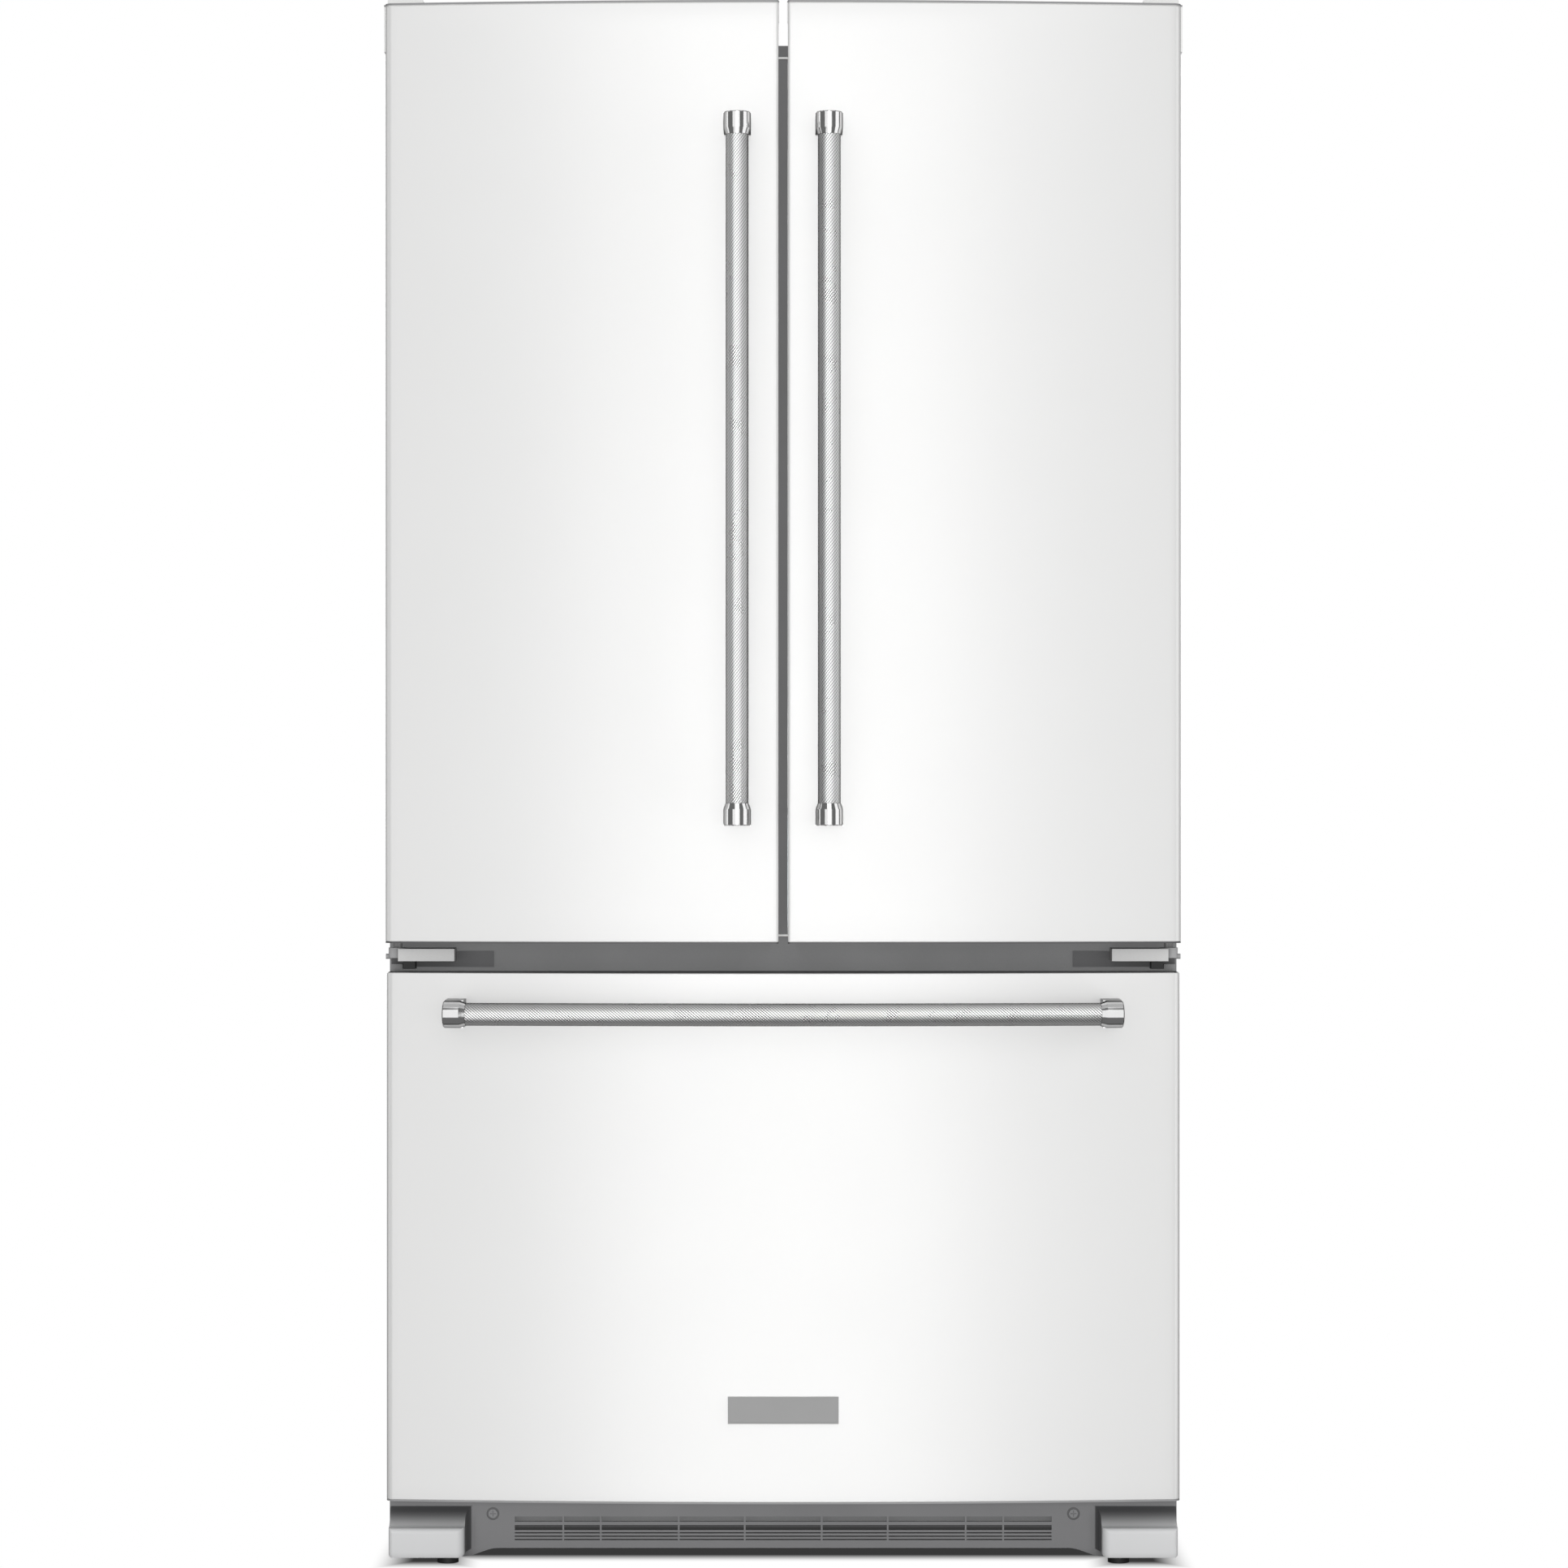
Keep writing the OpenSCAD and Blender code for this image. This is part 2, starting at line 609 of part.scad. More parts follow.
module drawer_slide_inner() color(steel) both_sides() {
    slab(room_x - 12, room_x - 5, rail_y[0], rail_y[1], rail_z[0] + 5, rail_z[1] - 5);
    slab(room_x - 14, room_x - 12, front_back_y + 20, step_y - 12, rail_z[0] - 20, rail_z[1] + 2);
    slab(room_x - 40, room_x - 12, front_back_y + 20, front_back_y + 22, rail_z[0] - 40, rail_z[1] + 2);
}

basket_x = 384;
module freezer_basket() color(white) {
    tray(-basket_x + 4, basket_x - 4, -220, 96, 102, 384, 3);
    both_sides() slab(basket_x - 4, room_x - 12, -200, 90, rail_z[1] + 2, rail_z[1] + 5);
    difference() {
        slab(-basket_x + 4, basket_x - 4, -220, 96, 384, 390);
        slab(-basket_x + 7, basket_x - 7, -217, 93, 383, 391);
    }
}

module upper_basket() color(white) {
    tray(-384, 384, -190, 244, 410, 502, 3);
    both_sides() slab(384, room_x - 2, -190, 244, 502.2, 505);
    difference() {
        slab(-384, 384, -190, 244, 502, 505);
        slab(-381, 381, -187, 241, 501, 506);
    }
}

// ---------------------------------------------------------------- doors

dyke_x = [54, 398];
dyke_z = [738, 1706];
dyke_w = 28;
dyke_y = front_back_y + 34;
recess_y = front_back_y - 12;
cap_plug = 18;

module door_skin() {
    difference() {
        translate([0, 0, door_bottom + 1.5])
            linear_extrude(door_top - door_bottom - 1.5) door_plan(0, front_back_y);
        translate([0, 0, door_bottom])
            linear_extrude(door_top - door_bottom + 1) door_plan(skin, front_back_y + 1);
    }
}

module door_liner() difference() {
    union() {
        translate([0, 0, door_bottom + 1.5 + cap_plug + hair])
            linear_extrude(door_top - door_bottom - 1.5 - 2 * cap_plug - 2 * hair)
                door_plan(cap_fit, front_back_y);
        ring(dyke_x[0], dyke_x[1], dyke_z[0], dyke_z[1], dyke_w, front_back_y - 1, dyke_y);
    }
    slab(dyke_x[0] + dyke_w, dyke_x[1] - dyke_w, recess_y, dyke_y + 1,
         dyke_z[0] + dyke_w, dyke_z[1] - dyke_w);
    for (z = [door_bottom, door_top - 25]) tube_z(hinge_x, hinge_y, z, z + 26, pin_r + 2);
}

lip_outer = 51;     // how far the upper cap's lip runs down at the hinge side
lip_free = 22;      // and at the gap
cap_rise = 2.5;     // thickness of the upper cap over the skin

// Thin strip along the free edge, seen from above, from t0 to t1 into the gap
module free_edge_strip(t0, t1) polygon([
    [free_edge_x(-326) - t1, -326], [free_edge_x(front_back_y) - t1, front_back_y],
    [free_edge_x(front_back_y) - t0, front_back_y], [free_edge_x(-326) - t0, -326]
]);

module door_end_caps() {
    lip_y = [edge_front_y + 10, front_back_y - 4];
    difference() {
        union() {
            translate([0, 0, door_top - cap_plug]) linear_extrude(cap_plug) door_plan(cap_fit, front_back_y);
            translate([0, 0, door_top]) linear_extrude(cap_rise) door_plan(0, front_back_y);
            slab(doors_width / 2 + hair, doors_width / 2 + 2, lip_y[0], lip_y[1],
                 door_top - lip_outer, door_top + cap_rise);
            slab(doors_width / 2 - 0.5, doors_width / 2 + 2, lip_y[0], lip_y[1],
                 door_top, door_top + cap_rise);
            translate([0, 0, door_top - lip_free])
                linear_extrude(lip_free + cap_rise) free_edge_strip(hair, 1);
            translate([0, 0, door_top]) linear_extrude(cap_rise) free_edge_strip(-1, 1);
        }
        tube_z(hinge_x, hinge_y, door_top - cap_plug - 1, door_top + 3, pin_r + pin_fit);
    }
    difference() {
        union() {
            translate([0, 0, door_bottom]) linear_extrude(1.5) door_plan(0, front_back_y);
            translate([0, 0, door_bottom + 1.5]) linear_extrude(cap_plug) door_plan(cap_fit, front_back_y);
        }
        tube_z(hinge_x, hinge_y, door_bottom - 1, door_bottom + cap_plug + 3, pin_r + pin_fit);
    }
}

gasket_w = 12;
module door_gasket()
    ring(free_edge_x(front_back_y) + 1, hinge_x - 3.5, door_bottom + 0.8, mouth_top + 12, gasket_w,
         front_back_y, cab_front - 0.3);

bin_z = [1040, 1260, 1480];
module door_bins() for (z = bin_z) {
    tray(dyke_x[0] + dyke_w + 2, dyke_x[1] - dyke_w - 2, recess_y + 1, -148, z, z + 92, 2.5);
}

module left_door_skin() color(white) mirror([1, 0, 0]) door_skin();
module left_door_liner() color(white) mirror([1, 0, 0]) door_liner();
module left_door_end_caps() color(platinum) mirror([1, 0, 0]) door_end_caps();
module left_door_gasket() color(dark_grey) mirror([1, 0, 0]) door_gasket();
module left_door_bins() color(clear) mirror([1, 0, 0]) door_bins();
module right_door_skin() color(white) door_skin();
module right_door_liner() color(white) door_liner();
module right_door_end_caps() color(platinum) door_end_caps();
module right_door_gasket() color(dark_grey) door_gasket();
module right_door_bins() color(clear) door_bins();

flap_pivot = [-42, cab_front + 10];
flap_tip = 5;
flap_z = [fridge_floor + liner + 0.6, mouth_top - liner - 0.6];
module flip_mullion() color(dark_grey) {
    difference() {
        slab(flap_pivot[0], flap_tip, flap_pivot[1] - 9.5, flap_pivot[1] + 10, flap_z[0], flap_z[1]);
        slab(flap_pivot[0] - 1, flap_tip - 3, flap_pivot[1] - 6.5, flap_pivot[1] + 7,
             flap_z[0] + 3, flap_z[1] - 3);
    }
    tube_z(flap_pivot[0], flap_pivot[1], flap_z[0], flap_z[1], 9.5);
}

// ---------------------------------------------------------------- handles

bar_y = crown_y - handle_projection + cap_radius;  // axis of the handles in front of the crown
bar_r_path = front_centre_y - bar_y;                // radius of the drawer handle's bow
door_handle_z = [842, 1639.2];
drawer_handle_z = 630.5;
cap_len = 25;
cap_straight = 18.5;
post_len = 18.5;        // height of the door handles' posts
drawer_post = 21.7;     // width of the drawer handle's posts
handle_end_x = 380.5;

// End cap along +Z: straight, then narrowing to the bar
module end_cap() {
    rotate_extrude($fn = 96) polygon([
        [0, 0], [cap_radius - 1.2, 0], [cap_radius, 1.2], [cap_radius, cap_straight],
        [bar_radius + 0.3, cap_len], [0, cap_len]
    ]);
}

bar_z = [door_handle_z[0] + cap_len, door_handle_z[1] - cap_len];
module door_handle_bar() tube_z(handle_offset, bar_y, bar_z[0], bar_z[1], bar_radius, 96);

module door_handle_ends() {
    face = front_y(handle_offset - cap_radius) - 0.05;
    difference() {
        union() {
            translate([handle_offset, bar_y, door_handle_z[0]]) end_cap();
            translate([handle_offset, bar_y, door_handle_z[1]]) mirror([0, 0, 1]) end_cap();
            for (z = [door_handle_z[0], door_handle_z[1] - post_len])
                slab(handle_offset - cap_radius, handle_offset + cap_radius, bar_y, face, z, z + post_len);
        }
        tube_z(handle_offset, bar_y, bar_z[0] - 0.5, bar_z[1] + 0.5, bar_radius + 0.05, 96);
    }
}

module left_handle_bar() color(steel) mirror([1, 0, 0]) door_handle_bar();
module left_handle_ends() color(steel) mirror([1, 0, 0]) door_handle_ends();
module right_handle_bar() color(steel) door_handle_bar();
module right_handle_ends() color(steel) door_handle_ends();

// Angle along the drawer handle's bow at a distance x from the middle
function bow_angle(x) = asin(x / bar_r_path);
bar_angle = bow_angle(handle_end_x - cap_len - 0.05);

module drawer_handle_bar() color(steel)
    translate([0, front_centre_y, drawer_handle_z]) rotate([0, 0, -90 - bar_angle])
        rotate_extrude(angle = 2 * bar_angle, $fn = 720)
            translate([bar_r_path, 0]) circle(r = bar_radius, $fn = 64);

module drawer_handle_ends() color(steel) difference() {
    both_sides() {
        a = bow_angle(handle_end_x);
        translate([handle_end_x - 0.05, front_centre_y - bar_r_path * cos(a), drawer_handle_z])
            rotate([0, 0, a]) rotate([0, -90, 0]) end_cap();
        y0 = front_centre_y - bar_r_path * cos(a);
        slab(handle_end_x - drawer_post, handle_end_x - 0.5, y0 + 0.6, edge_front_y,
             drawer_handle_z - cap_radius, drawer_handle_z + cap_radius);
    }
    translate([0, 0, drawer_handle_z - 40]) linear_extrude(80) drawer_plan(-0.05, front_back_y);
}

// ---------------------------------------------------------------- freezer drawer front

module drawer_skin() color(white) difference() {
    translate([0, 0, drawer_bottom + 1.5])
        linear_extrude(drawer_top - drawer_bottom - 1.5) drawer_plan(0, front_back_y);
    translate([0, 0, drawer_bottom])
        linear_extrude(drawer_top - drawer_bottom + 1) drawer_plan(skin, front_back_y + 1);
}

module drawer_liner() color(white) difference() {
    union() {
        translate([0, 0, drawer_bottom + 1.5 + cap_plug + hair])
            linear_extrude(drawer_top - drawer_bottom - 1.5 - 2 * cap_plug - 2 * hair)
                drawer_plan(cap_fit, front_back_y);
        slab(-394, 394, front_back_y - 1, front_back_y + 20, freezer_floor + 10, freezer_ceiling - 10);
    }
}

module drawer_end_caps() color(dark_grey) {
    translate([0, 0, drawer_top - cap_plug]) linear_extrude(cap_plug) drawer_plan(cap_fit, front_back_y);
    translate([0, 0, drawer_bottom]) linear_extrude(1.5) drawer_plan(0, front_back_y);
    translate([0, 0, drawer_bottom + 1.5]) linear_extrude(cap_plug) drawer_plan(cap_fit, front_back_y);
}

module drawer_gasket() color(dark_grey)
    ring(-hinge_x + 3.5, hinge_x - 3.5, drawer_bottom + 1.7, drawer_top - 2.1, gasket_w,
         front_back_y, cab_front - 0.3);

module badge_plate() color(steel) difference() {
    slab(-62.5, 62.5, crown_y - 2.6, crown_y, 166.6, 197.2);
    slab(-60.5, 60.5, crown_y - 3, crown_y - 2, 168.6, 195.2);
}

// ---------------------------------------------------------------- drawing

cabinet_wrapper();
back_panel();
base_frame();
cabinet_insulation();
fridge_liner();
freezer_liner();
grille_screws();
top_hinges();
hinge_covers();
center_hinges();
base_grille();
drawer_slide_rails();
compressor();
condenser();
condenser_fan_motor();
rear_cover();
water_valve();
evaporator();
evaporator_cover();
shelf_frames();
shelf_glass();
crisper_left();
crisper_right();
pantry_drawer();
control_panel();
water_dispenser();
ice_maker();
condenser_fan();
evaporator_fan();
rear_rollers();
leveling_leg_left();
leveling_leg_right();
dispenser_button();
filter_door();
left_door_skin();
left_door_liner();
left_door_end_caps();
left_door_gasket();
left_door_bins();
left_handle_bar();
left_handle_ends();
flip_mullion();
right_door_skin();
right_door_liner();
right_door_end_caps();
right_door_gasket();
right_door_bins();
right_handle_bar();
right_handle_ends();
drawer_skin();
drawer_liner();
drawer_end_caps();
drawer_gasket();
drawer_handle_bar();
drawer_handle_ends();
badge_plate();
freezer_basket();
drawer_slide_inner();
drawer_slide_middle();
upper_basket();
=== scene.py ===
import json
import math

import bpy
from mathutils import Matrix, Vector


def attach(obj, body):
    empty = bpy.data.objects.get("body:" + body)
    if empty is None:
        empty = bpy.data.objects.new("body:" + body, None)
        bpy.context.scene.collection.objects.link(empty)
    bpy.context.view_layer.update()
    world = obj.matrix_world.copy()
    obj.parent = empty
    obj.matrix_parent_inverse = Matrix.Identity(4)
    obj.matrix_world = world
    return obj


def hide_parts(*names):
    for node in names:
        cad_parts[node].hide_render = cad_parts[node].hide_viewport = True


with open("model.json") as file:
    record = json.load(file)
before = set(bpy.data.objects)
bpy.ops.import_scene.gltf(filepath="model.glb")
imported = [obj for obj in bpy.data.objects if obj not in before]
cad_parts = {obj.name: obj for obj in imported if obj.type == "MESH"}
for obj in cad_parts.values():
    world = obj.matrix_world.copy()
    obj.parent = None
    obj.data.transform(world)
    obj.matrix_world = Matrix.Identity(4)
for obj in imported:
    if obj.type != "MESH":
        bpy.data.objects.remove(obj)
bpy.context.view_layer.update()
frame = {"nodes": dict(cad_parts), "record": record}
scene = bpy.context.scene
NODES = frame["nodes"]
RECORD = frame["record"]
SLOT_OF = {s["node"]: s["material_slot"] for s in RECORD["subparts"]}

# Numbers shared with the CAD, in metres
DOORS_W = 0.903
DRAWER_W = 0.900
CROWN = 0.022
CROWN_Y = -0.3315
CROWN_R = ((DOORS_W / 2) ** 2 + CROWN ** 2) / (2 * CROWN)
CENTRE_Y = CROWN_Y + CROWN_R
CAB_FRONT = CROWN_Y + CROWN + 0.0555
BACK_Y = CAB_FRONT - 0.012
GAP = 0.0105
EDGE_TAPER = 0.0065
HANDLE_X = 0.0515
BAR_Y = -0.3797
DRAWER_BAR_Z = 0.6305
FREE_CORNER = 0.003
OUTER_CORNER = 0.009
DOOR_Z = (0.7097, 1.771)
DRAWER_Z = (0.0772, 0.6746)
CABINET_HALF = 0.449
CABINET_BACK = 0.395
FOOT_FRONT = CAB_FRONT - 0.042
GRILLE_FRONT = CAB_FRONT - 0.012
FOOT_BOX_X = 0.406          # middle of a foot box
FOOT_BOX_HALF = 0.043
HINGE_ARM_X = 0.4381        # the centre hinge's knuckle begins here
HINGE_ARM_Z = 0.6868        # its stop and lower tab are below this
HINGE_STOP_X = 0.4337
HINGE_PLATE_Y = CAB_FRONT - 0.0032
KNURL_GROOVES = 24


# ------------------------------------------------------------------ materials

class Shader:
    """A small helper for building one procedural material."""

    def __init__(self, name):
        self.mat = bpy.data.materials.new(name)
        self.mat.use_nodes = True
        self.tree = self.mat.node_tree
        self.tree.nodes.clear()
        self.out = self.add("ShaderNodeOutputMaterial")
        self.bsdf = self.add("ShaderNodeBsdfPrincipled")
        self.link(self.bsdf.outputs[0], self.out.inputs[0])
        self.coords = self.add("ShaderNodeTexCoord").outputs["Object"]

    def add(self, kind, **values):
        node = self.tree.nodes.new(kind)
        for key, value in values.items():
            setattr(node, key, value)
        return node

    def link(self, a, b):
        self.tree.links.new(a, b)

    def put(self, socket, value):
        if isinstance(value, (int, float)):
            socket.default_value = value
        elif isinstance(value, tuple):
            full = len(value) == 3 and len(socket.default_value) == 4
            socket.default_value = value + (1.0,) if full else value
        else:
            self.link(value, socket)

    def math(self, op, a, b=0.0, c=0.0):
        node = self.add("ShaderNodeMath", operation=op)
        for socket, value in zip(node.inputs, (a, b, c)):
            self.put(socket, value)
        return node.outputs[0]

    def noise(self, scale, detail=3.0, stretch=(1, 1, 1), rough=0.5):
        mapping = self.add("ShaderNodeMapping")
        mapping.inputs["Scale"].default_value = stretch
        self.link(self.coords, mapping.inputs["Vector"])
        node = self.add("ShaderNodeTexNoise")
        node.inputs["Scale"].default_value = scale
        node.inputs["Detail"].default_value = detail
        node.inputs["Roughness"].default_value = rough
        self.link(mapping.outputs[0], node.inputs["Vector"])
        return node.outputs[0]

    def between(self, value, low, high):
        node = self.add("ShaderNodeMapRange")
        self.put(node.inputs["Value"], value)
        node.inputs["From Min"].default_value = 0.3
        node.inputs["From Max"].default_value = 0.7
        node.inputs["To Min"].default_value = low
        node.inputs["To Max"].default_value = high
        return node.outputs[0]

    def ramp(self, value, start, end):
        """0 up to start, 1 from end on, with a soft step between."""
        node = self.add("ShaderNodeMapRange", interpolation_type="SMOOTHSTEP")
        self.put(node.inputs["Value"], value)
        node.inputs["From Min"].default_value = start
        node.inputs["From Max"].default_value = end
        return node.outputs[0]

    def blend(self, factor, a, b):
        node = self.add("ShaderNodeMix", data_type="RGBA")
        self.put(node.inputs["Factor"], factor)
        self.put(node.inputs["A"], a)
        self.put(node.inputs["B"], b)
        return node.outputs["Result"]

    def painted_recess_shade(self, colour, dark, reach, power):
        """Painted shade: the colour, sinking to a dark one where other surfaces lie closer than
        reach.
        """
        node = self.add("ShaderNodeAmbientOcclusion", samples=8)
        node.inputs["Distance"].default_value = reach
        return self.blend(self.math("POWER", node.outputs["AO"], power), dark, colour)

    def bump(self, height, strength, distance=0.001):
        node = self.add("ShaderNodeBump")
        node.inputs["Strength"].default_value = strength
        node.inputs["Distance"].default_value = distance
        self.link(height, node.inputs["Height"])
        self.link(node.outputs[0], self.bsdf.inputs["Normal"])

    def colour(self):
        """What is plugged into the base colour so far."""
        return self.bsdf.inputs["Base Color"].links[0].from_socket

    def xyz(self):
        node = self.add("ShaderNodeSeparateXYZ")
        self.link(self.coords, node.inputs[0])
        return node.outputs[0], node.outputs[1], node.outputs[2]


def plain(name, colour, rough, metallic=0.0, vary=0.03, grain=400.0, grain_strength=0.05,
          grain_depth=0.0002, coat=0.0, stretch=(1, 1, 1), specular=0.5,
          coat_rough=0.08, shelter=None):
    """Colour and roughness that wander a little, with a fine grain in the surface.
    shelter: (reach, power, how dark) paints shade that sinks the colour in recesses."""
    s = Shader(name)
    wander = s.noise(6.0)
    dark = tuple(c * (1 - vary) for c in colour)
    light = tuple(min(1.0, c * (1 + vary)) for c in colour)
    tone = s.blend(wander, dark, light)
    # Painted shade: the colour darkens where other surfaces lie close.
    if shelter:
        tone = s.painted_recess_shade(tone, tuple(c * shelter[2] for c in colour), shelter[0], shelter[1])
    s.put(s.bsdf.inputs["Base Color"], tone)
    s.put(s.bsdf.inputs["Roughness"], s.between(s.noise(11.0), rough * 0.92, rough * 1.08))
    s.bsdf.inputs["Metallic"].default_value = metallic
    s.bsdf.inputs["Specular IOR Level"].default_value = specular
    s.bsdf.inputs["Coat Weight"].default_value = coat
    s.bsdf.inputs["Coat Roughness"].default_value = coat_rough
    s.bump(s.noise(grain, 2.0, stretch), grain_strength, grain_depth)
    return s


def clear(name, colour, rough, transmission, ior=1.5):
    """See-through plastic or glass."""
    s = Shader(name)
    wander = s.noise(5.0)
    light = tuple(min(1.0, c * 1.03) for c in colour)
    s.put(s.bsdf.inputs["Base Color"], s.blend(wander, colour, light))
    s.put(s.bsdf.inputs["Roughness"], s.between(s.noise(9.0), rough, rough * 1.3))
    s.bsdf.inputs["Transmission Weight"].default_value = transmission
    s.bsdf.inputs["IOR"].default_value = ior
    return s


white_paint = plain("white_gloss_paint", (0.80, 0.80, 0.795), 0.24, vary=0.006, grain=260.0,
                    grain_strength=0.04, grain_depth=0.0001, coat=1.0, coat_rough=0.24,
                    specular=0.8)
# Painted shade: the platinum paint darkens in recesses.
platinum = plain("platinum_paint", (0.42, 0.425, 0.43), 0.42, vary=0.02, grain=700.0,
                 grain_strength=0.35, grain_depth=0.0003, shelter=(0.07, 2.0, 0.3))
zinc = plain("zinc_steel", (0.60, 0.61, 0.62), 0.38, metallic=1.0, vary=0.08, grain=60.0,
             grain_strength=0.08, grain_depth=0.0002)
foam = plain("insulation_foam", (0.80, 0.70, 0.42), 0.9, vary=0.08, grain=500.0,
             grain_strength=0.6, grain_depth=0.0006)
white_plastic = plain("white_plastic", (0.82, 0.82, 0.81), 0.30, vary=0.01, grain=500.0,
                      grain_strength=0.05)
# Painted shade: the grey plastic darkens strongly in recesses.
grey_plastic = plain("grey_plastic", (0.66, 0.665, 0.67), 0.45, vary=0.02, grain=900.0,
                     grain_strength=0.2, grain_depth=0.0002, shelter=(0.08, 2.5, 0.1))
dark_plastic = plain("dark_plastic", (0.07, 0.07, 0.072), 0.5, vary=0.1, grain=900.0,
                     grain_strength=0.25, grain_depth=0.0002)
flap_plastic = plain("flap_plastic", (0.17, 0.17, 0.172), 0.5, vary=0.04, grain=900.0,
                     grain_strength=0.25, grain_depth=0.0002)
foot_black = plain("foot_black", (0.012, 0.012, 0.012), 0.6, vary=0.1, grain=900.0,
                   grain_strength=0.25, grain_depth=0.0002)
clear_plastic = clear("clear_plastic", (0.90, 0.95, 0.96), 0.06, 0.92, 1.46)
shelf_glass = clear("shelf_glass", (0.86, 0.95, 0.92), 0.02, 0.95, 1.5)
gasket_rubber = plain("gasket_rubber", (0.16, 0.16, 0.165), 0.6, vary=0.05, grain=500.0,
                      grain_strength=0.2, grain_depth=0.0002)
# Painted shade: the polished steel darkens in recesses.
polished = plain("polished_steel", (0.80, 0.80, 0.80), 0.10, metallic=1.0, vary=0.02, grain=300.0,
                 grain_strength=0.02, grain_depth=0.0001, shelter=(0.04, 2.0, 0.3))
polished.bsdf.inputs["Specular Tint"].default_value = (0.1, 0.1, 0.1, 1.0)
black_enamel = plain("black_enamel", (0.015, 0.015, 0.016), 0.28, vary=0.1, grain=200.0,
                     grain_strength=0.1)
coil_aluminium = plain("coil_aluminium", (0.78, 0.79, 0.80), 0.35, metallic=1.0, vary=0.05,
                       grain=300.0, grain_strength=0.1)
badge = plain("badge_steel", (0.42, 0.42, 0.42), 0.34, metallic=1.0, vary=0.03, grain=900.0,
              grain_strength=0.25, grain_depth=0.0002, stretch=(0.02, 1, 1))


def knurl(name, angle_of, along_of, turns, pitch):
    """Satin steel cut by two crossing sets of grooves, with painted shade in the grooves and where
    the door lies close behind the bar.
    angle_of and along_of take the shader and give sockets: the angle round the bar and the
    distance along it."""
    s = Shader(name)
    angle = angle_of(s)
    along = along_of(s)
    round_part = s.math("MULTIPLY", angle, turns / 2)
    long_part = s.math("MULTIPLY", along, math.pi / pitch)
    one = s.math("ABSOLUTE", s.math("SINE", s.math("ADD", round_part, long_part)))
    two = s.math("ABSOLUTE", s.math("SINE", s.math("SUBTRACT", round_part, long_part)))
    height = s.math("ADD", s.math("MULTIPLY", one, 0.75), s.math("MULTIPLY", two, 0.25))
    # Painted shade: the grooves are coloured darker than the ridges.
    groove_shaded_steel = s.blend(height, (0.24, 0.24, 0.24), (0.92, 0.92, 0.92))
    # Painted shade: the bar darkens to near black where the door lies close behind it.
    s.put(s.bsdf.inputs["Base Color"], s.painted_recess_shade(groove_shaded_steel, (0.01, 0.01, 0.01), 0.09, 3.0))
    s.bsdf.inputs["Metallic"].default_value = 1.0
    s.bsdf.inputs["Specular Tint"].default_value = (0.0, 0.0, 0.0, 1.0)
    s.put(s.bsdf.inputs["Roughness"], s.between(s.noise(40.0), 0.26, 0.32))
    s.bump(height, 0.7, 0.0006)
    return s


def upright_angle(x0):
    """Angle round a door's bar, which stands at x0."""
    def socket(s):
        x, y, z = s.xyz()
        return s.math("ARCTAN2", s.math("SUBTRACT", x, x0), s.math("SUBTRACT", y, BAR_Y))
    return socket


def bowed_angle(s):
    """Angle round the drawer's bar, which bows with the front."""
    x, y, z = s.xyz()
    dy = s.math("SUBTRACT", CENTRE_Y, y)
    reach = s.math("SQRT", s.math("ADD", s.math("MULTIPLY", x, x), s.math("MULTIPLY", dy, dy)))
    out = s.math("SUBTRACT", reach, CENTRE_Y - BAR_Y)
    return s.math("ARCTAN2", s.math("SUBTRACT", z, DRAWER_BAR_Z), out)


knurl_left = knurl("knurled_steel_left", upright_angle(-HANDLE_X), lambda s: s.xyz()[2],
                   KNURL_GROOVES, 0.0041)
knurl_right = knurl("knurled_steel_right", upright_angle(HANDLE_X), lambda s: s.xyz()[2],
                    KNURL_GROOVES, 0.0041)
knurl_bow = knurl("knurled_steel_bow", bowed_angle, lambda s: s.xyz()[0], KNURL_GROOVES, 0.0036)


def centre_hinge():
    """White arm, grey knuckle and wall plate, black stop below the arm. The plate's grey paint is
    coloured darker as painted shade at the back of the gap, and the whole hinge has painted shade
    where other surfaces lie close.
    """
    s = plain("centre_hinge", (0.80, 0.80, 0.795), 0.5, vary=0.01, grain=900.0, grain_strength=0.1,
              specular=0.15)
    x, y, z = s.xyz()
    side = s.math("ABSOLUTE", x)
    below = s.math("LESS_THAN", z, HINGE_ARM_Z)
    stop = s.math("MULTIPLY", below, s.math("LESS_THAN", side, HINGE_STOP_X))
    tone = s.colour()
    tone = s.blend(s.math("GREATER_THAN", side, HINGE_ARM_X), tone, (0.50, 0.50, 0.505))
    tone = s.blend(below, tone, (0.40, 0.40, 0.405))
    tone = s.blend(stop, tone, (0.012, 0.012, 0.012))
    # Painted shade: the wall plate is coloured darker for the shade at the back of the gap.
    tone = s.blend(s.math("GREATER_THAN", y, HINGE_PLATE_Y), tone, (0.17, 0.17, 0.175))
    # Painted shade where other surfaces lie close.
    s.put(s.bsdf.inputs["Base Color"], s.painted_recess_shade(tone, (0.05, 0.05, 0.05), 0.03, 1.0))
    return s


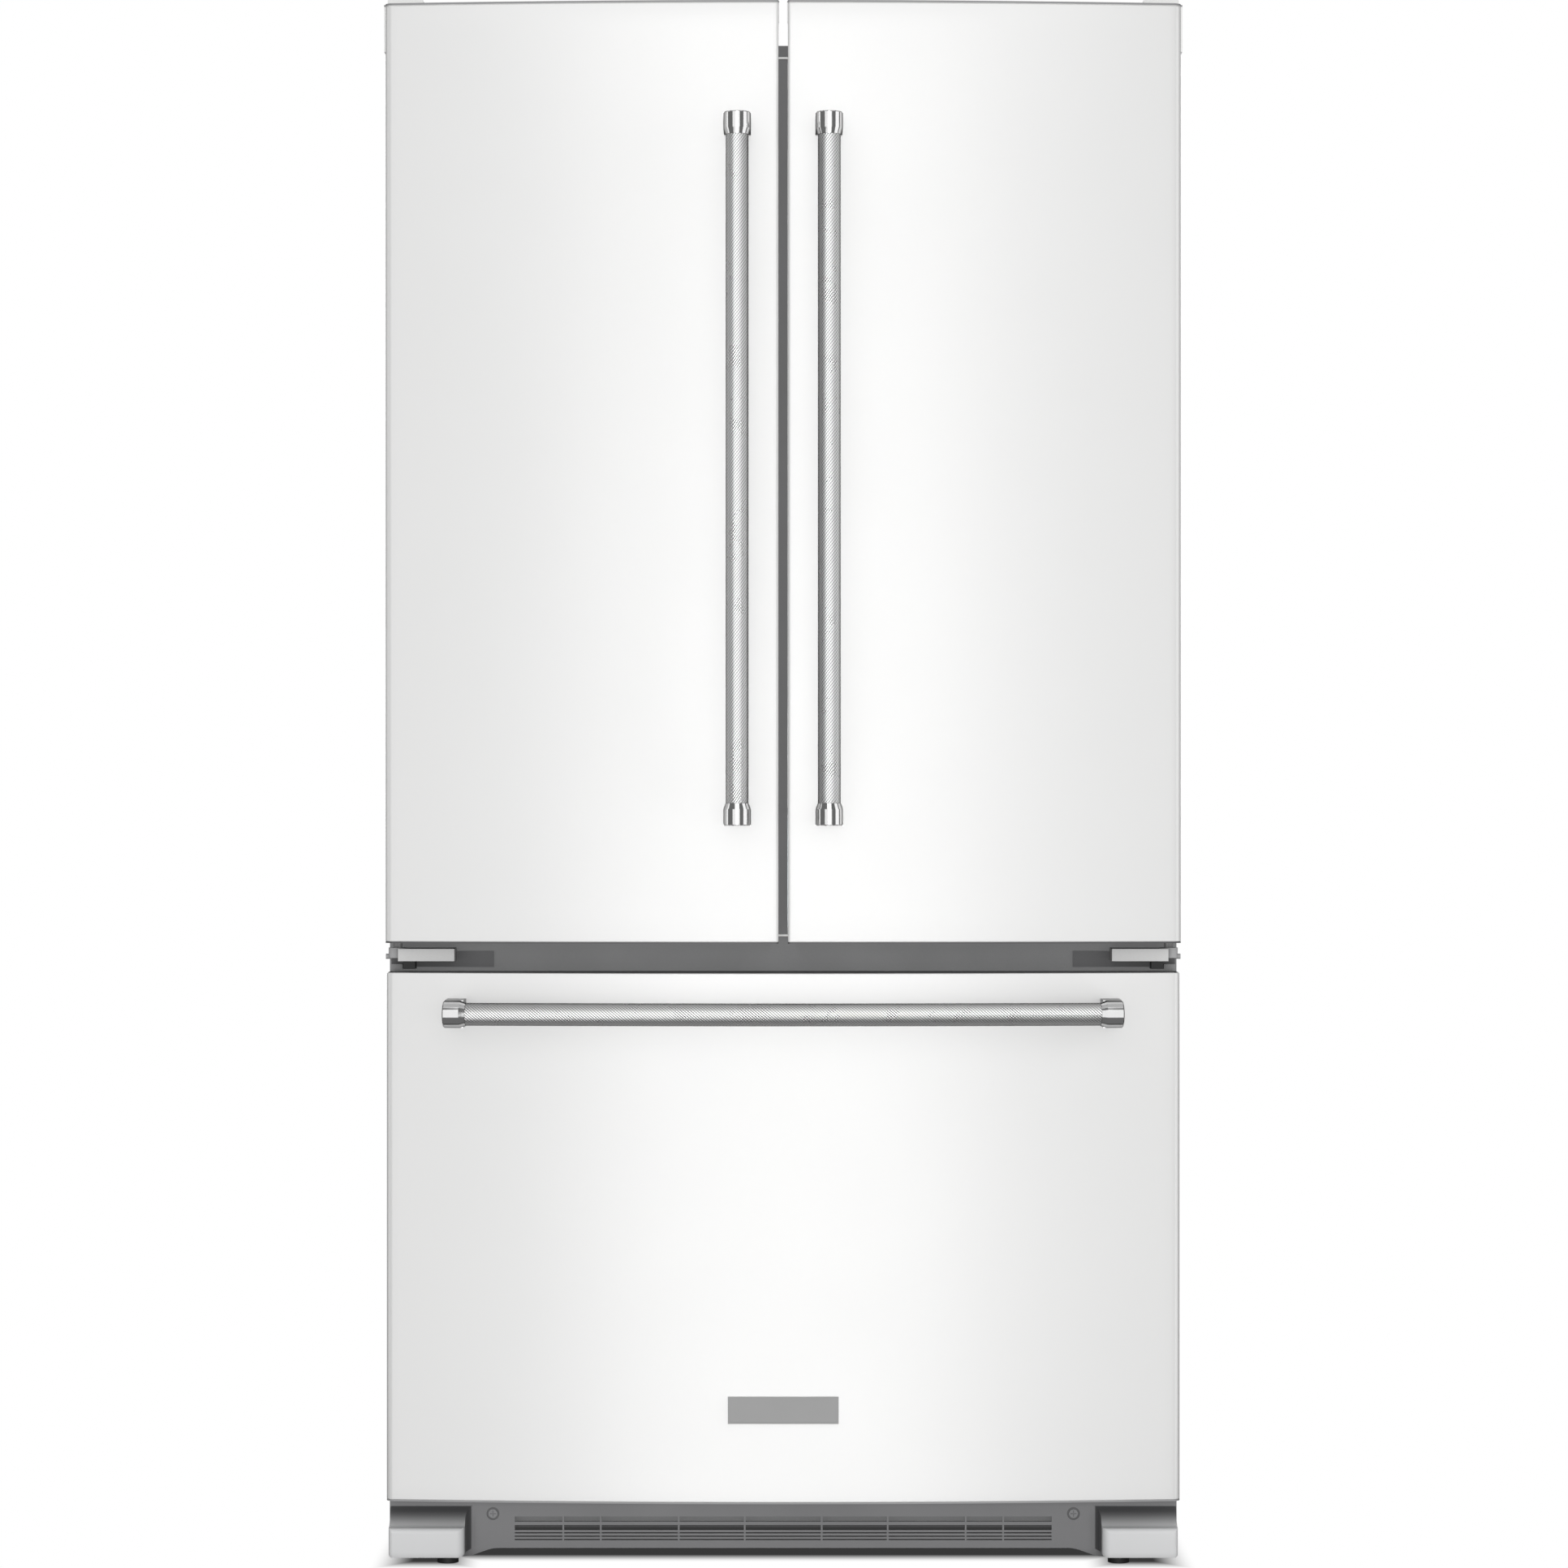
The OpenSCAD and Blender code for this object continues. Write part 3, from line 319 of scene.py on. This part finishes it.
def grille_plastic():
    """Grey plastic with painted shade: darker on the boxes' upper slopes and in the recess between
    them, which lie in the drawer's shade, and darker where other surfaces lie close.
    """
    s = plain("grille_plastic", (0.74, 0.745, 0.75), 0.45, vary=0.02, grain=900.0,
              grain_strength=0.2, grain_depth=0.0002)
    x, y, z = s.xyz()
    # Painted shade under the drawer: the boxes' upper slopes darken towards the back.
    depth = s.ramp(y, GRILLE_FRONT - 0.023, GRILLE_FRONT - 0.002)
    tone = s.blend(depth, s.colour(), (0.06, 0.06, 0.062))
    # Painted shade: the recess between the boxes is coloured darker.
    recess = s.math("GREATER_THAN", y, GRILLE_FRONT - 0.0005)
    tone = s.blend(recess, tone, (0.20, 0.20, 0.205))
    # Painted shade where other surfaces lie close.
    s.put(s.bsdf.inputs["Base Color"], s.painted_recess_shade(tone, (0.03, 0.03, 0.03), 0.015, 1.3))
    return s


def door_caps():
    """White plastic end caps that end in a grey edge over the skin; under the skin they are near
    black, a painted shadow along the door's lower edge.
    """
    s = plain("door_caps", (0.80, 0.80, 0.795), 0.35, vary=0.01, grain=900.0, grain_strength=0.1)
    x, y, z = s.xyz()
    under = s.math("LESS_THAN", z, DOOR_Z[0] + 0.0103)
    over = s.math("GREATER_THAN", z, DOOR_Z[1] + 0.0002)
    # Painted shadow: near black along the door's lower edge.
    tone = s.blend(under, s.colour(), (0.07, 0.07, 0.072))
    s.put(s.bsdf.inputs["Base Color"], s.blend(over, tone, (0.28, 0.28, 0.285)))
    return s


def drawer_caps():
    """Grey plastic of the drawer's end caps with painted shade: dark towards the back under the
    doors, lighter towards the front edge.
    """
    s = plain("drawer_caps", (0.03, 0.03, 0.031), 0.5, vary=0.02, grain=900.0, grain_strength=0.2)
    x, y, z = s.xyz()
    reach = s.math("SQRT", s.math("SUBTRACT", CROWN_R ** 2, s.math("MULTIPLY", x, x)))
    depth = s.math("SUBTRACT", y, s.math("SUBTRACT", CENTRE_Y, reach))
    # Painted shade: dark at the back, lighter towards the front edge.
    tone = s.blend(s.ramp(depth, -0.004, 0.06), (0.34, 0.34, 0.345), s.colour())
    s.put(s.bsdf.inputs["Base Color"], tone)
    return s


hinge_look = centre_hinge()
caps_look = drawer_caps()
door_caps_look = door_caps()
# Painted shade: the screw darkens where other surfaces lie very close.
screw_look = plain("dull_screw", (0.20, 0.20, 0.205), 0.45, metallic=0.4, vary=0.05, grain=900.0,
                   grain_strength=0.1, shelter=(0.004, 1.0, 0.2))
grille_look = grille_plastic()
# Painted shade: the base frame is coloured near black to stand for the shade behind the grille's
# slots.
frame_in_painted_shade = plain("frame_in_painted_shade", (0.09, 0.09, 0.092), 0.6, vary=0.06, grain=700.0,
                    grain_strength=0.2, specular=0.2)

LOOKS = {
    "white_paint": white_paint, "platinum_paint": platinum, "zinc_steel": zinc,
    "insulation_foam": foam, "white_plastic": white_plastic, "grey_plastic": grey_plastic,
    "dark_plastic": dark_plastic, "clear_plastic": clear_plastic, "shelf_glass": shelf_glass,
    "gasket_rubber": gasket_rubber, "knurled_steel": knurl_left, "polished_steel": polished,
    "black_enamel": black_enamel, "coil_aluminium": coil_aluminium, "badge_steel": badge,
}
OWN_LOOKS = {
    "right_handle_bar": knurl_right, "drawer_handle_bar": knurl_bow, "flip_mullion": flap_plastic,
    "leveling_leg_left": foot_black, "leveling_leg_right": foot_black, "center_hinges": hinge_look,
    "base_grille": grille_look, "drawer_end_caps": caps_look, "left_door_end_caps": door_caps_look,
    "right_door_end_caps": door_caps_look, "grille_screws": screw_look, "base_frame": frame_in_painted_shade,
}


def dress(obj, look):
    obj.data.materials.clear()
    obj.data.materials.append(look.mat)


def smooth(obj, degrees=35):
    obj.data.shade_smooth()
    obj.data.set_sharp_from_angle(angle=math.radians(degrees))


def bevel(obj, width, segments=3):
    m = obj.modifiers.new("Bevel", "BEVEL")
    m.width = width
    m.segments = segments
    m.limit_method = "ANGLE"
    m.angle_limit = math.radians(35)
    m.harden_normals = True


BEVELS = {
    "base_grille": 0.0012, "hinge_covers": 0.0025, "center_hinges": 0.0012, "control_panel": 0.003,
    "left_handle_ends": 0.0015, "right_handle_ends": 0.0015, "drawer_handle_ends": 0.0015,
    "badge_plate": 0.0004, "left_door_end_caps": 0.0004, "right_door_end_caps": 0.0004,
    "drawer_end_caps": 0.0004, "left_door_liner": 0.002, "right_door_liner": 0.002,
    "drawer_liner": 0.002,
    "cabinet_wrapper": 0.0004, "left_door_bins": 0.001, "right_door_bins": 0.001,
    "crisper_left": 0.001, "crisper_right": 0.001, "pantry_drawer": 0.001, "shelf_frames": 0.0015,
    "freezer_basket": 0.001, "upper_basket": 0.001, "ice_maker": 0.002, "water_dispenser": 0.002,
    "leveling_leg_left": 0.001, "leveling_leg_right": 0.001, "flip_mullion": 0.001,
    "compressor": 0.002,
}
for name, obj in NODES.items():
    smooth(obj)
    dress(obj, OWN_LOOKS.get(name, LOOKS[SLOT_OF[name]]))
    if name in BEVELS:
        bevel(obj, BEVELS[name])


# ------------------------------------------------------------------ door and drawer fronts

def front_y(x):
    return CENTRE_Y - math.sqrt(CROWN_R ** 2 - x * x)


def corner(x, r):
    """Middle of an upright corner of radius r at x, touching the bulged front from inside."""
    return CENTRE_Y - math.sqrt((CROWN_R - r) ** 2 - x * x)


def arc(cx, cy, r, a0, a1, n):
    """Points with normals on a circle, from one angle to another."""
    out = []
    for i in range(n + 1):
        a = math.radians(a0 + (a1 - a0) * i / n)
        out.append((cx + r * math.cos(a), cy + r * math.sin(a), math.cos(a), math.sin(a)))
    return out


def bulge(x0, x1, n):
    """Points with normals on the bulged front, without the two ends."""
    out = []
    for i in range(1, n):
        x = x0 + (x1 - x0) * i / n
        y = front_y(x)
        out.append((x, y, x / CROWN_R, (y - CENTRE_Y) / CROWN_R))
    return out


def steer(x, y):
    """Direction from the bulge's centre to a point, in degrees."""
    return math.degrees(math.atan2(y - CENTRE_Y, x)) % 360


def door_outline():
    """Points with outward normals, from the back of the free edge to the back of the outer side."""
    fx, r = GAP / 2 + FREE_CORNER, FREE_CORNER
    fy = corner(fx, r)
    ox, q = DOORS_W / 2 - OUTER_CORNER, OUTER_CORNER
    oy = corner(ox, q)
    lean = math.atan2(EDGE_TAPER, BACK_Y - fy)
    side = (-math.cos(lean), math.sin(lean))
    pts = []
    for i in range(7):
        y = BACK_Y + (fy - BACK_Y) * i / 7
        pts.append((GAP / 2 + EDGE_TAPER * (y - fy) / (BACK_Y - fy), y) + side)
    pts += arc(fx, fy, r, 180, steer(fx, fy), 6)
    pts += bulge(pts[-1][0], ox, 70)
    pts += arc(ox, oy, q, steer(ox, oy), 360, 10)
    for i in range(1, 8):
        pts.append((DOORS_W / 2, oy + (BACK_Y - oy) * i / 7, 1, 0))
    return pts


def drawer_outline():
    """The same for the drawer, from side to side."""
    ox, q = DRAWER_W / 2 - OUTER_CORNER, OUTER_CORNER
    oy = corner(ox, q)
    steps = 140
    right = bulge(-ox, ox, steps)
    right += arc(ox, oy, q, steer(ox, oy), 360, 10)
    right += [(DRAWER_W / 2, oy + (BACK_Y - oy) * i / 7, 1, 0) for i in range(1, 8)]
    left = [(-x, y, -nx, ny) for x, y, nx, ny in right[steps - 1:]]
    return left[::-1] + right


def pressed_front(name, outline, z0, z1, roll, fold):
    """Sheet front with rolled upper and lower edges and a narrow flange folded in at each."""
    rows = []
    steps = 7
    for i in range(steps + 1):
        a = math.pi / 2 * (1 - i / steps)
        rows.append((roll * (1 - math.cos(a)), z0 + roll * (1 - math.sin(a))))
    upper = [(inset, z0 + z1 - z) for inset, z in rows[::-1]]
    rows = [(roll + fold, z0)] + rows
    count = 40
    middle = [(0.0, z0 + roll + (z1 - z0 - 2 * roll) * i / count) for i in range(1, count)]
    rows = rows + middle + upper + [(roll + fold, z1)]
    verts, faces = [], []
    n = len(outline)
    for inset, z in rows:
        verts += [(x - nx * inset, y - ny * inset, z) for x, y, nx, ny in outline]
    for j in range(len(rows) - 1):
        for i in range(n - 1):
            a = j * n + i
            faces.append((a, a + 1, a + n + 1, a + n))
    mesh = bpy.data.meshes.new(name)
    mesh.from_pydata(verts, [], faces)
    obj = bpy.data.objects.new(name, mesh)
    scene.collection.objects.link(obj)
    mesh.update()
    smooth(obj, 50)
    return obj


def mirrored(outline):
    return [(-x, y, -nx, ny) for x, y, nx, ny in outline][::-1]


for name, outline, z, node, body in (
        ("left_door_front", mirrored(door_outline()), DOOR_Z, "left_door_skin", "left_door"),
        ("right_door_front", door_outline(), DOOR_Z, "right_door_skin", "right_door"),
        ("drawer_front", drawer_outline(), DRAWER_Z, "drawer_skin", "freezer_drawer")):
    front = pressed_front(name, outline, z[0], z[1], 0.0014, 0.0046)
    dress(front, white_paint)
    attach(front, body)
    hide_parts(node)


# ------------------------------------------------------------------ camera, light and floor

cam = bpy.data.objects.new("camera", bpy.data.cameras.new("camera"))
scene.collection.objects.link(cam)
cam.data.sensor_width = 36.0
cam.data.lens = 97.65
cam.data.clip_end = 50.0
cam.location = (0.0009, CROWN_Y - 4.8, 0.8885)
cam.rotation_euler = (math.pi / 2, 0.0, 0.0)
scene.camera = cam

world = bpy.data.worlds.new("studio")
scene.world = world
world.use_nodes = True
nodes, links = world.node_tree.nodes, world.node_tree.links
nodes.clear()
sky = nodes.new("ShaderNodeBackground")
sky.inputs["Color"].default_value = (1, 1, 1, 1)
sky.inputs["Strength"].default_value = 0.16
paper = nodes.new("ShaderNodeBackground")
paper.inputs["Color"].default_value = (1, 1, 1, 1)
paper.inputs["Strength"].default_value = 1.0
path = nodes.new("ShaderNodeLightPath")
mix = nodes.new("ShaderNodeMixShader")
out = nodes.new("ShaderNodeOutputWorld")
links.new(path.outputs["Is Camera Ray"], mix.inputs[0])
links.new(sky.outputs[0], mix.inputs[1])
links.new(paper.outputs[0], mix.inputs[2])
links.new(mix.outputs[0], out.inputs[0])


def softbox(name, at, towards, width, height, power, shadow=True):
    light = bpy.data.lights.new(name, "AREA")
    light.shape = "RECTANGLE"
    light.size = width
    light.size_y = height
    light.energy = power
    obj = bpy.data.objects.new(name, light)
    scene.collection.objects.link(obj)
    obj.location = at
    obj.rotation_euler = (Vector(towards) - Vector(at)).to_track_quat("-Z", "Y").to_euler()
    obj.visible_camera = False
    light.use_shadow = shadow
    return obj


# The strip is there twice, once for the handles and once for the rest. The second isn't traced as
# a reflection, so the handles don't interrupt its sheen in the white paint.
metal = bpy.data.collections.new("mirrors_the_strip")
rest = bpy.data.collections.new("does_not_mirror_the_strip")
for name, obj in NODES.items():
    if "handle" in name:
        metal.objects.link(obj)
    if "handle" in name or "badge" in name:
        rest.objects.link(obj)
for item in rest.collection_objects:
    item.light_linking.link_state = "EXCLUDE"
for part, linked in (("handles", metal), ("paint", rest)):
    strip = softbox("front_strip_" + part, (0, -6.2, 0.2), (0, 0, 0.2), 2.0, 6.0, 100, shadow=False)
    strip.light_linking.receiver_collection = linked
strip.data.cycles.use_multiple_importance_sampling = False
softbox("front_wide", (-0.9, -5.4, 1.6), (-0.9, 0, 1.6), 6.0, 6.8, 110, shadow=False)
softbox("side_right", (2.2, -1.17, 0.9), (0, -1.17, 0.9), 1.5, 3.4, 16)
softbox("side_left", (-2.2, -0.35, 0.9), (0, -0.35, 0.9), 0.6, 3.4, 6)
key = softbox("key", (0, -7.4, 1.0), (0, -0.3, 0.9), 3.0, 1.4, 90, shadow=False)
key.visible_glossy = False
# Mirrored by the bowed handle only
high_front = softbox("high_front", (0, -3.3, 3.5), (0, -0.34, 0.63), 2.4, 3.0, 22, shadow=False)
high_front.visible_diffuse = False
softbox("backdrop", (0, 6.0, 2.6), (0, 0, 2.6), 7.0, 4.6, 150)
softbox("overhead", (0, -0.8, 4.2), (0, 0, 0.5), 3.5, 3.0, 12)

floor_mesh = bpy.data.meshes.new("floor")
floor_corners = [(-2, -0.45, 0), (2, -0.45, 0), (2, 3.0, 0), (-2, 3.0, 0)]
floor_mesh.from_pydata(floor_corners, [], [(0, 1, 2, 3)])
floor = bpy.data.objects.new("floor", floor_mesh)
scene.collection.objects.link(floor)
paper_look = Shader("floor_paper")


def outside(s, cx, half_x, front, back):
    """Distance on the floor outside a rectangle mirrored on both sides."""
    x, y, z = s.xyz()
    off_middle = s.math("SUBTRACT", s.math("ABSOLUTE", x), cx)
    dx = s.math("SUBTRACT", s.math("ABSOLUTE", off_middle), half_x)
    dy = s.math("MAXIMUM", s.math("SUBTRACT", front, y), s.math("SUBTRACT", y, back))
    return s.math("MAXIMUM", dx, dy)


# The floor is paper white up to the painted contact shadows under the cabinet and its front feet
case_edge = outside(paper_look, 0.0, CABINET_HALF, CAB_FRONT - 0.010, CABINET_BACK)
feet_edge = outside(paper_look, FOOT_BOX_X, FOOT_BOX_HALF, FOOT_FRONT, 0.0)
under_case = paper_look.ramp(case_edge, -0.044, 0.012)
under_feet = paper_look.ramp(feet_edge, -0.032, 0.022)
glow = paper_look.add("ShaderNodeEmission")
lit = paper_look.math("MINIMUM", under_case, under_feet)
paper_look.put(glow.inputs["Strength"], paper_look.math("MAXIMUM", lit, 0.04))
shade = paper_look.add("ShaderNodeBsdfDiffuse")
shade.inputs["Color"].default_value = (0.2, 0.2, 0.2, 1)
seen = paper_look.add("ShaderNodeLightPath")
either = paper_look.add("ShaderNodeMixShader")
paper_look.link(seen.outputs["Is Camera Ray"], either.inputs[0])
paper_look.link(shade.outputs[0], either.inputs[1])
paper_look.link(glow.outputs[0], either.inputs[2])
paper_look.link(either.outputs[0], paper_look.out.inputs[0])
dress(floor, paper_look)

scene.view_settings.view_transform = "Standard"
scene.view_settings.look = "None"
